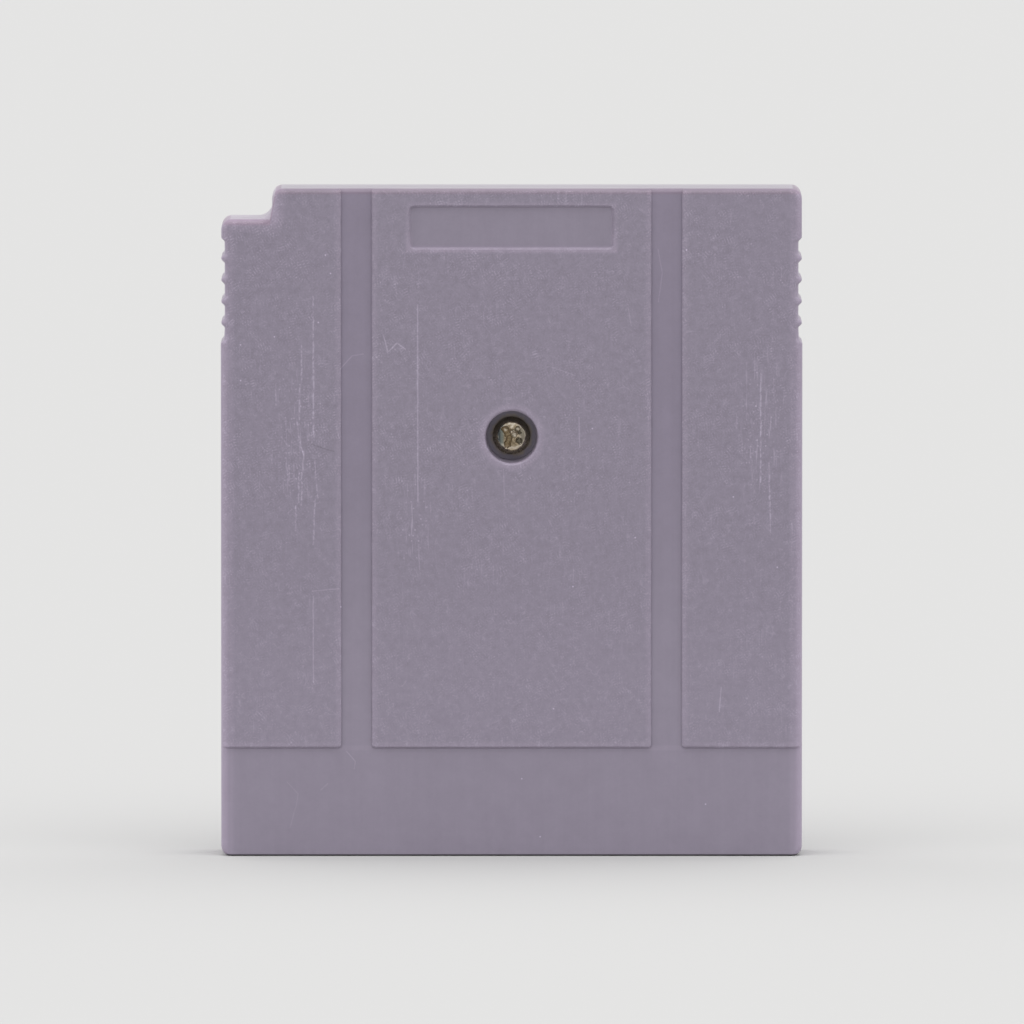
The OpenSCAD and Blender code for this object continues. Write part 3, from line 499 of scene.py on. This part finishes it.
def tarnished_screw_steel():
    """Nickel-plated steel, cold headed, worn and dirty.

    Painted reflections make bright arcs along the top and the bottom of the crown, and painted
    highlights a broken line along its rim and glints in the recess, beside pale bare metal there.
    Elsewhere it has gone brown, and it is grey-green on the left. Old grease fills the recess's arms
    and blackens the flank; painted shade darkens the flank along its top, and painted light pales it
    towards the bottom.
    """
    made, t = material("nickel_plated_steel_tarnished")
    mm = millimetres(t)
    local = add(t, "VectorMath", [mm, (SCREW_X, SCREW_TOP_Y, SCREW_Z)], operation="SUBTRACT")
    side, up = (add(t, "SeparateXYZ", [local], out=i) for i in (0, 2))
    radial = add(t, "VectorMath", [local, (1.0, 0.0, 1.0)], operation="MULTIPLY")
    radius = add(t, "VectorMath", [radial], out=0, operation="LENGTH")
    deep = add(t, "Attribute", attribute_name="recess", out=2)
    patches = add(t, "TexNoise", {"Vector": mm, "Scale": 1 / 0.3, "Detail": 4.0, "Roughness": 0.7})
    fine = add(t, "TexNoise", {"Vector": mm, "Scale": 1 / 0.12, "Detail": 3.0, "Roughness": 0.6})
    patchy = add(t, "MapRange", [patches, 0.35, 0.65], **SMOOTH)
    mixed = add(t, "MapRange", [fine, 0.35, 0.65], **SMOOTH)

    brown = add(t, "Mix", {"Factor": patchy, "A": linear("#AC9C84"), "B": linear("#7A6C57")}, **BLEND)
    cool = add(t, "MapRange", [side, -0.60, -0.95], **SMOOTH)
    brown = add(t, "Mix", {"Factor": cool, "A": brown, "B": linear("#767A73")}, **BLEND)
    cold = add(t, "MapRange", [side, -0.95, -1.25], **SMOOTH)
    brown = add(t, "Mix", {"Factor": cold, "A": brown, "B": linear("#42474A")}, **BLEND)
    right = add(t, "MapRange", [side, 0.60, 0.95, 0.0, 0.8], **SMOOTH)
    brown = add(t, "Mix", {"Factor": right, "A": brown, "B": linear("#868075")}, **BLEND)

    # Grease in the recess, browner in its left arms
    arms = add(t, "MapRange", [deep, 0.03, 0.15], **SMOOTH)
    arms = total(t, [arms, add(t, "MapRange", [mixed, 0.0, 1.0, 0.7, 1.0])], "MULTIPLY")
    left = add(t, "MapRange", [side, 0.15, -0.15], **SMOOTH)
    left_grease = add(t, "Mix", {"Factor": mixed, "A": linear("#75664B"), "B": linear("#9A8462")}, **BLEND)
    grease = add(t, "Mix", {"Factor": left, "A": linear("#726B5A"), "B": left_grease}, **BLEND)
    colour = add(t, "Mix", {"Factor": arms, "A": brown, "B": grease}, **BLEND)

    # Grease and dust on the flank, with painted shade along its top and painted light towards its bottom
    wander = add(t, "TexNoise", {"Vector": mm, "Scale": 1 / 0.35, "Detail": 2.0}, out=1)
    wander = add(t, "VectorMath", [wander, (0.5, 0.5, 0.5)], operation="SUBTRACT")
    loose = add(t, "VectorMath", [wander, (0.3, 0.0, 0.3), radial], operation="MULTIPLY_ADD")
    loose_radius = add(t, "VectorMath", [loose], out=0, operation="LENGTH")
    flank = add(t, "MapRange", [loose_radius, 1.36, 1.44], **SMOOTH)
    low = add(t, "MapRange", [up, 1.3, -1.3], **SMOOTH)
    grease_and_shade = add(t, "Mix", {"Factor": low, "A": linear("#6C6456"), "B": linear("#C4B49C")}, **BLEND)
    grease_and_shade = add(t, "Mix", {"Factor": patchy, "A": grease_and_shade, "B": linear("#7C715C")}, **BLEND)
    grease_and_shade = add(t, "Mix", {"Factor": mixed, "A": grease_and_shade, "B": linear("#524B3E")}, **BLEND)
    colour = add(t, "Mix", {"Factor": flank, "A": colour, "B": grease_and_shade}, **BLEND)

    # Painted highlights, and a broken thin painted highlight along the rim
    painted_sheen = total(t, [stroke(t, loose, *place) for place in PAINTED_SCREW_HIGHLIGHTS], "MAXIMUM")
    rim = distance_from(t, loose_radius, 1.33)
    rim = add(t, "MapRange", [rim, 0.0, 0.08, 0.28, 0.0], **SMOOTH)
    painted_sheen = add(t, "Math", [painted_sheen, rim], operation="MAXIMUM")
    painted_sheen = total(t, [painted_sheen, add(t, "MapRange", [patches, 0.38, 0.58, 0.35, 1.0])], "MULTIPLY")
    colour = add(t, "Mix", {"Factor": painted_sheen, "A": colour, "B": linear("#EADFD0")}, **BLEND)

    darkening = add(t, "Math", [arms, flank], operation="MAXIMUM")
    darkening = add(t, "Math", [darkening, painted_sheen], operation="SUBTRACT", use_clamp=True)
    rough = add(t, "MapRange", [darkening, 0.0, 1.0, 0.24, 0.5])
    metal = add(t, "MapRange", [darkening, 0.0, 1.0, 1.0, 0.1])
    bumps = add(t, "Math", [fine, patches], operation="ADD")
    bump = add(t, "Bump", {"Strength": 0.5, "Distance": 0.03 * MM, "Height": bumps})
    steel = add(
        t, "BsdfPrincipled", {"Base Color": colour, "Metallic": metal, "Roughness": rough, "Normal": bump}
    )
    add(t, "OutputMaterial", {"Surface": steel})
    return made


def glass_epoxy_laminate():
    """Routed glass-epoxy board under green solder resist.

    The resist is glossy, tracks show through it as paler lines, and the cut edges are bare yellow-green
    laminate.
    """
    made, t = material("glass_epoxy_laminate")
    mm = millimetres(t)
    x, y = (add(t, "SeparateXYZ", [mm], out=i) for i in (0, 1))
    lo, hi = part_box("circuit_board")
    mid_y = (lo.y + hi.y) / 2 / MM
    half_t = (hi.y - lo.y) / 2 / MM
    off = distance_from(t, y, mid_y)
    cut_edge = add(t, "MapRange", [off, half_t - 0.03, half_t - 0.01, 1.0, 0.0], **SMOOTH)
    # Tracks 0.4 mm wide on a 3 mm pitch, twice that of the contacts they run from
    wander = add(t, "TexNoise", {"Vector": mm, "Scale": 1 / 9.0, "Detail": 1.0})
    bent = add(t, "Math", [wander, 2.5, x], operation="MULTIPLY_ADD")
    phase = add(t, "Math", [bent, 1.5], operation="PINGPONG")
    tracks = add(t, "MapRange", [phase, 0.18, 0.26, 1.0, 0.0], **SMOOTH)
    weave = add(t, "TexNoise", {"Vector": mm, "Scale": 1 / 0.35, "Detail": 1.0})
    resist = add(t, "Mix", {"Factor": tracks, "A": linear("#1F5A3A"), "B": linear("#3D7F4E")}, **BLEND)
    bare = add(t, "Mix", {"Factor": weave, "A": linear("#A9A468"), "B": linear("#C4BE86")}, **BLEND)
    colour = add(t, "Mix", {"Factor": cut_edge, "A": resist, "B": bare}, **BLEND)
    height = add(t, "Math", [weave, 0.4, tracks], operation="MULTIPLY_ADD")
    bump = add(t, "Bump", {"Strength": 0.4, "Distance": 0.035 * MM, "Height": height})
    rough = add(t, "MapRange", [cut_edge, 0.0, 1.0, 0.28, 0.75])
    board = add(
        t, "BsdfPrincipled", {"Base Color": colour, "Roughness": rough, "IOR": 1.5, "Normal": bump}
    )
    add(t, "OutputMaterial", {"Surface": board})
    return made


def plated_metal(name, colours, patch_mm, streak, roughness, streak_depth):
    """Metal whose colour drifts between two shades in patches, with fine marks drawn out along streak."""
    made, t = material(name)
    mm = millimetres(t)
    patches = add(t, "TexNoise", {"Vector": mm, "Scale": 1 / patch_mm, "Detail": 3.0, "Roughness": 0.6})
    drawn = add(t, "VectorMath", [mm, streak], operation="MULTIPLY")
    lines = add(t, "TexNoise", {"Vector": drawn, "Scale": 1 / 0.06, "Detail": 2.0, "Roughness": 0.6})
    colour = add(t, "Mix", {"Factor": patches, "A": linear(colours[0]), "B": linear(colours[1])}, **BLEND)
    rough = add(t, "MapRange", [lines, 0.3, 0.7, *roughness])
    bump = add(t, "Bump", {"Strength": 0.3, "Distance": streak_depth * MM, "Height": lines})
    metal = add(
        t, "BsdfPrincipled", {"Base Color": colour, "Metallic": 1.0, "Roughness": rough, "Normal": bump}
    )
    add(t, "OutputMaterial", {"Surface": metal})
    return made


def speckled_body(name, colours, grain_mm, roughness, grain_depth):
    """Dull body whose colour drifts between two shades, with a fine even grain."""
    made, t = material(name)
    mm = millimetres(t)
    patches = add(
        t, "TexNoise", {"Vector": mm, "Scale": 1 / (6 * grain_mm), "Detail": 3.0, "Roughness": 0.6}
    )
    grain = add(t, "TexNoise", {"Vector": mm, "Scale": 1 / grain_mm, "Detail": 2.0, "Roughness": 0.6})
    colour = add(t, "Mix", {"Factor": patches, "A": linear(colours[0]), "B": linear(colours[1])}, **BLEND)
    rough = add(t, "MapRange", [grain, 0.3, 0.7, *roughness])
    bump = add(t, "Bump", {"Strength": 0.4, "Distance": grain_depth * MM, "Height": grain})
    body = add(
        t, "BsdfPrincipled", {"Base Color": colour, "Roughness": rough, "IOR": 1.5, "Normal": bump}
    )
    add(t, "OutputMaterial", {"Surface": body})
    return made


def smooth_copy(node, name, finish):
    """Copy of a node's mesh with its doubles merged and its curved faces shaded smooth."""
    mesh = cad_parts[node].data.copy()
    mesh.name = name
    bm = bmesh.new()
    bm.from_mesh(mesh)
    bmesh.ops.remove_doubles(bm, verts=bm.verts, dist=0.002 * MM)
    bmesh.ops.dissolve_degenerate(bm, edges=bm.edges, dist=0.001 * MM)
    bm.to_mesh(mesh)
    bm.free()
    for layer in [a for a in mesh.attributes if a.name == "custom_normal"]:
        mesh.attributes.remove(layer)
    mesh.shade_smooth()
    mesh.set_sharp_from_angle(angle=math.radians(32))
    mesh.materials.clear()
    mesh.materials.append(finish)
    piece = bpy.data.objects.new(name, mesh)
    bpy.context.scene.collection.objects.link(piece)
    weighted = piece.modifiers.new("Weighted Normal", "WEIGHTED_NORMAL")
    weighted.mode = "FACE_AREA"
    weighted.keep_sharp = True
    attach(piece, "root")
    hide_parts(node)
    return piece


def grid_mesh(name, points, attribute=None):
    """Closed mesh of a grid of points whose rows are rings: each ring joins the next, and the first and
    last rings close on their mean points."""
    rows, steps = points.shape[:2]
    body = points.reshape(-1, 3)
    poles = np.stack([points[0].mean(axis=0), points[-1].mean(axis=0)])
    index = np.arange(rows * steps).reshape(rows, steps)
    right = np.roll(index, -1, axis=1)
    quads = np.stack([index[:-1], right[:-1], right[1:], index[1:]], axis=-1).reshape(-1, 4)
    first = np.stack([np.full(steps, rows * steps), right[0], index[0]], axis=-1)
    last = np.stack([np.full(steps, rows * steps + 1), index[-1], right[-1]], axis=-1)
    mesh = bpy.data.meshes.new(name)
    mesh.from_pydata(
        np.concatenate([body, poles]).tolist(), [], quads.tolist() + first.tolist() + last.tolist()
    )
    if attribute is not None:
        values = np.concatenate([attribute.ravel(), [attribute[0].mean(), attribute[-1].mean()]])
        layer = mesh.attributes.new("recess", "FLOAT", "POINT")
        layer.data.foreach_set("value", values.astype(np.float32))
    mesh.shade_smooth()
    return mesh


def step(value, low, high):
    """Smooth step: 0 below low, 1 above high, t*t*(3-2t) between."""
    t = np.clip((value - low) / (high - low), 0.0, 1.0)
    return t * t * (3 - 2 * t)


# Arms and floor of the cross recess, worn out of true: (across, up) of both ends from the screw's
# middle, half width and depth in millimetres
RECESS = [
    ((0.24, 0.20), (0.30, 0.14), 0.30, 0.20),
    ((-0.24, -0.14), (-0.42, -0.88), 0.29, 0.36),
    ((-0.46, 0.38), (-0.24, -0.06), 0.25, 0.24),
    ((-0.62, 0.64), (-0.52, 0.58), 0.36, 0.34),
    ((-0.14, 0.60), (0.42, 0.62), 0.09, 0.12),
    ((0.54, 0.66), (0.66, 0.70), 0.26, 0.24),
    ((0.72, 0.36), (0.72, 0.34), 0.20, 0.30),
    ((0.70, -0.42), (0.78, -0.52), 0.28, 0.34),
]


def turned_screw():
    """The screw as a turned surface with a cross recess pressed into its crown and a thread on its shank.

    A point is radius R(s), depth Y(s) and angle a. The crown is a very flat dome, the flank slopes out
    to the head's full radius and the shank carries a single-start thread: its radius falls from crest to
    root as a triangle wave of turn plus depth over pitch. Sine waves of the angle knock the crown's rim
    out of round by up to 0.05 mm. The recess sinks the crown by the greatest of its arms and floors,
    each a smooth step of the distance from a segment, and sine waves bend these edges out of true.
    """
    top = SCREW_TOP_Y
    seat = SCREW_TOP_Y + 1.5
    crown_r = 0.775 * HEAD_R
    shank_r = 0.95
    root_r = 0.72
    pitch = 0.7
    steps = 256
    crown_rows, thread_rows, tip_rows = 130, 90, 8

    crown = np.linspace(0.004, crown_r, crown_rows)
    crown_y = top + 0.12 * (crown / crown_r) ** 2 + 0.05 * step(crown, 1.32, crown_r)
    shoulder_r = [crown_r + 0.05, crown_r + 0.11, HEAD_R - 0.1, HEAD_R, HEAD_R, HEAD_R - 0.03]
    shoulder_y = [top + 0.30, top + 0.50, seat - 0.50, seat - 0.40, seat - 0.05, seat]
    thread_y = np.linspace(seat + 0.25, SCREW_END_Y - 0.6, thread_rows)
    tip_r = np.linspace(root_r, 0.1, tip_rows)
    tip_y = np.linspace(SCREW_END_Y - 0.5, SCREW_END_Y, tip_rows)
    neck_r = [shank_r + 0.02, shank_r - 0.05, root_r]
    neck_y = [seat, seat + 0.05, seat + 0.2]
    radius = np.concatenate([crown, shoulder_r, neck_r, np.full(thread_rows, root_r), tip_r])
    depth = np.concatenate([crown_y, shoulder_y, neck_y, thread_y, tip_y])
    above_thread = len(radius) - thread_rows - tip_rows
    threaded = np.concatenate([np.zeros(above_thread), np.ones(thread_rows), np.zeros(tip_rows)])

    angle = np.linspace(0, 2 * math.pi, steps, endpoint=False)
    turn = angle[None, :] / (2 * math.pi)
    wave = np.abs(((depth[:, None] / pitch + turn) % 1.0) - 0.5) * 2
    ends = step(depth, seat + 0.25, seat + 0.7) * (1 - step(depth, SCREW_END_Y - 1.3, SCREW_END_Y - 0.6))
    crest = (shank_r - root_r) * np.clip(1.5 * wave - 0.4, 0, 1)
    knocks = 0.022 * np.sin(4 * angle + 0.6) + 0.012 * np.sin(7 * angle) + 0.006 * np.sin(15 * angle)
    knocked = np.zeros(len(radius))
    knocked[:crown_rows] = step(crown, 0.7, crown_r)
    knocked[crown_rows : crown_rows + 2] = 1.0, 0.6
    r = radius[:, None] * (1 + knocked[:, None] * knocks)
    r = r + threaded[:, None] * ends[:, None] * crest

    across, up = r * np.cos(angle), r * np.sin(angle)
    worn_across = across + 0.05 * np.sin(9 * up + 1.0) + 0.03 * np.sin(17 * across)
    worn_up = up + 0.05 * np.sin(8 * across) + 0.03 * np.sin(15 * up + 2.0)
    on_crown = (np.arange(len(radius)) < crown_rows)[:, None]
    sunk = np.zeros(r.shape)
    for start, end, half_width, deepest in RECESS:
        run = np.subtract(end, start)
        along = (worn_across - start[0]) * run[0] + (worn_up - start[1]) * run[1]
        along = np.clip(along / np.dot(run, run), 0.0, 1.0)
        away = np.hypot(worn_across - start[0] - along * run[0], worn_up - start[1] - along * run[1])
        sunk = np.maximum(sunk, deepest * (1 - step(away, 0.5 * half_width, 1.15 * half_width)))
    sunk = sunk * on_crown
    y = depth[:, None] + sunk
    points = np.stack([SCREW_X + across, np.broadcast_to(y, r.shape), SCREW_Z + up], axis=-1) * MM
    return grid_mesh("case_screw_turned", points, sunk)


back_abs = moulded_abs("moulded_abs_worn_back", True)
front_abs = moulded_abs("moulded_abs_front", False)
smooth_copy("back_shell", "back_shell_moulding", back_abs)
smooth_copy("front_shell", "front_shell_moulding", front_abs)

screw_mesh = turned_screw()
screw_mesh.materials.append(tarnished_screw_steel())
screw = bpy.data.objects.new("case_screw_turned", screw_mesh)
bpy.context.scene.collection.objects.link(screw)
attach(screw, "root")
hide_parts("case_screw")

# Gold flashed over nickel on copper: soft yellow, with upright wipe marks from the connector's springs
contact_gold = plated_metal(
    "gold_plated_copper", ("#D8B25A", "#B98F3E"), 2.0, (1.0, 1.0, 0.06), (0.18, 0.42), 0.01
)
# Tin-plated lead frame alloy: dull bright grey, slightly crystalline
tinned = plated_metal(
    "tin_plated_alloy", ("#C9CBCC", "#A7A9AA"), 0.5, (1.0, 1.0, 1.0), (0.28, 0.5), 0.01
)
# Drawn stainless steel can of the cell: clean grey with faint round-drawn lines
cell_steel = plated_metal(
    "drawn_stainless_steel", ("#C6C6C3", "#AEAEAC"), 3.0, (0.1, 1.0, 1.0), (0.2, 0.36), 0.006
)
# Rolled nickel strip: warm grey with long rolling lines
tab_nickel = plated_metal(
    "rolled_nickel_strip", ("#BDB8AE", "#A29E95"), 1.5, (1.0, 1.0, 0.08), (0.26, 0.44), 0.008
)
# Transfer-moulded epoxy: near black and matt from the mould's eroded surface
chip_epoxy = speckled_body(
    "transfer_moulded_epoxy", ("#242427", "#2E2E31"), 0.08, (0.5, 0.68), 0.02
)
# Fired ceramic: tan, smooth, faintly mottled
capacitor_ceramic = speckled_body(
    "fired_ceramic", ("#B38D63", "#A07C55"), 0.1, (0.35, 0.5), 0.01
)
# Glazed thick film: black glass over the resistor, glossier than the epoxy
resistor_glaze = speckled_body("glazed_thick_film", ("#1C1C20", "#26262B"), 0.2, (0.2, 0.32), 0.01)

finishes = {
    "circuit_board": glass_epoxy_laminate(),
    "edge_contacts": contact_gold,
    "coin_cell": cell_steel,
    "cell_top_tab": tab_nickel,
    "cell_base_tab": tab_nickel,
    "capacitors": capacitor_ceramic,
    "resistors": resistor_glaze,
    "diode": chip_epoxy,
}
finishes.update({f"{chip}_chip": chip_epoxy for chip in ("rom", "ram", "mapper", "supervisor")})
finishes.update({f"{chip}_leads": tinned for chip in ("rom", "ram", "mapper", "supervisor")})
finishes.update({f"{part}_ends": tinned for part in ("capacitor", "resistor")})
for node, finish in finishes.items():
    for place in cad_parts[node].material_slots:
        place.material = finish


def pale_sweep():
    """Matt paper sweep: plain, without grain at this scale."""
    made, t = material("matt_paper_sweep")
    paper = add(t, "BsdfDiffuse", {"Color": FLOOR_COLOUR})
    add(t, "OutputMaterial", {"Surface": paper})
    return made


floor_mesh = bpy.data.meshes.new("floor")
reach = 30.0
floor_mesh.from_pydata(
    [(-reach, -reach, 0), (reach, -reach, 0), (reach, reach, 0), (-reach, reach, 0)], [], [(0, 1, 2, 3)]
)
floor_mesh.materials.append(pale_sweep())
floor = bpy.data.objects.new("floor", floor_mesh)
bpy.context.scene.collection.objects.link(floor)


def studio_world():
    """White tent: brightest overhead and at both sides and dim in front, where the camera stands. The
    camera, gloss and glass see the sweep's own pale colour."""
    world = bpy.data.worlds.new("studio_tent")
    world.use_nodes = True
    t = world.node_tree
    t.nodes.clear()
    direction = add(t, "TexCoord", out=0)
    side, front, up = (add(t, "SeparateXYZ", [direction], out=i) for i in range(3))
    sky = add(t, "MapRange", [up, 0.0, 1.0, 0.18, 1.46], **SMOOTH)
    front = add(t, "Math", [front, 0.0], operation="MINIMUM")
    front = add(t, "Math", [front, front], operation="MULTIPLY")
    sky = total(t, [sky, add(t, "Math", [front, -0.3, 1.0], operation="MULTIPLY_ADD")], "MULTIPLY")
    side = add(t, "Math", [side, side], operation="MULTIPLY")
    sky = add(t, "Math", [side, 1.10, sky], operation="MULTIPLY_ADD")
    soft = add(t, "Background", {"Color": (1.0, 1.0, 1.0, 1.0), "Strength": sky})
    pale = add(t, "Background", {"Color": linear(BACKGROUND), "Strength": 1.0})
    # Rays from the camera, glossy ones and transmitted ones
    seen = total(t, [add(t, "LightPath", out=i) for i in (0, 3, 6)], "MAXIMUM")
    add(t, "OutputWorld", {"Surface": add(t, "MixShader", [seen, soft, pale])})
    bpy.context.scene.world = world


studio_world()

lamp = bpy.data.lights.new("overhead_softbox", "SUN")
lamp.energy = 0.73
lamp.angle = math.radians(60)
lamp_object = bpy.data.objects.new("overhead_softbox", lamp)
lamp_object.rotation_euler = (math.radians(25), 0, 0)
bpy.context.scene.collection.objects.link(lamp_object)

# Camera: square to the back and a few degrees above it, 2 m off with a long lens
ELEVATION = math.radians(4.2)
DISTANCE = 2.0
FRAME_WIDTH = 100.39 * MM
TARGET = Vector((0.04, 0.0, 33.53)) * MM
camera_data = bpy.data.cameras.new("camera")
camera_data.sensor_width = 36.0
camera_data.lens = 36.0 * DISTANCE / FRAME_WIDTH
camera_data.clip_start = 0.1
camera_data.clip_end = 100.0
camera = bpy.data.objects.new("camera", camera_data)
back = Vector((0, -math.cos(ELEVATION), math.sin(ELEVATION)))
camera.location = TARGET + back * DISTANCE
camera.rotation_euler = (-back).to_track_quat("-Z", "Y").to_euler()
bpy.context.scene.collection.objects.link(camera)
bpy.context.scene.camera = camera
bpy.context.scene.view_settings.view_transform = "Standard"
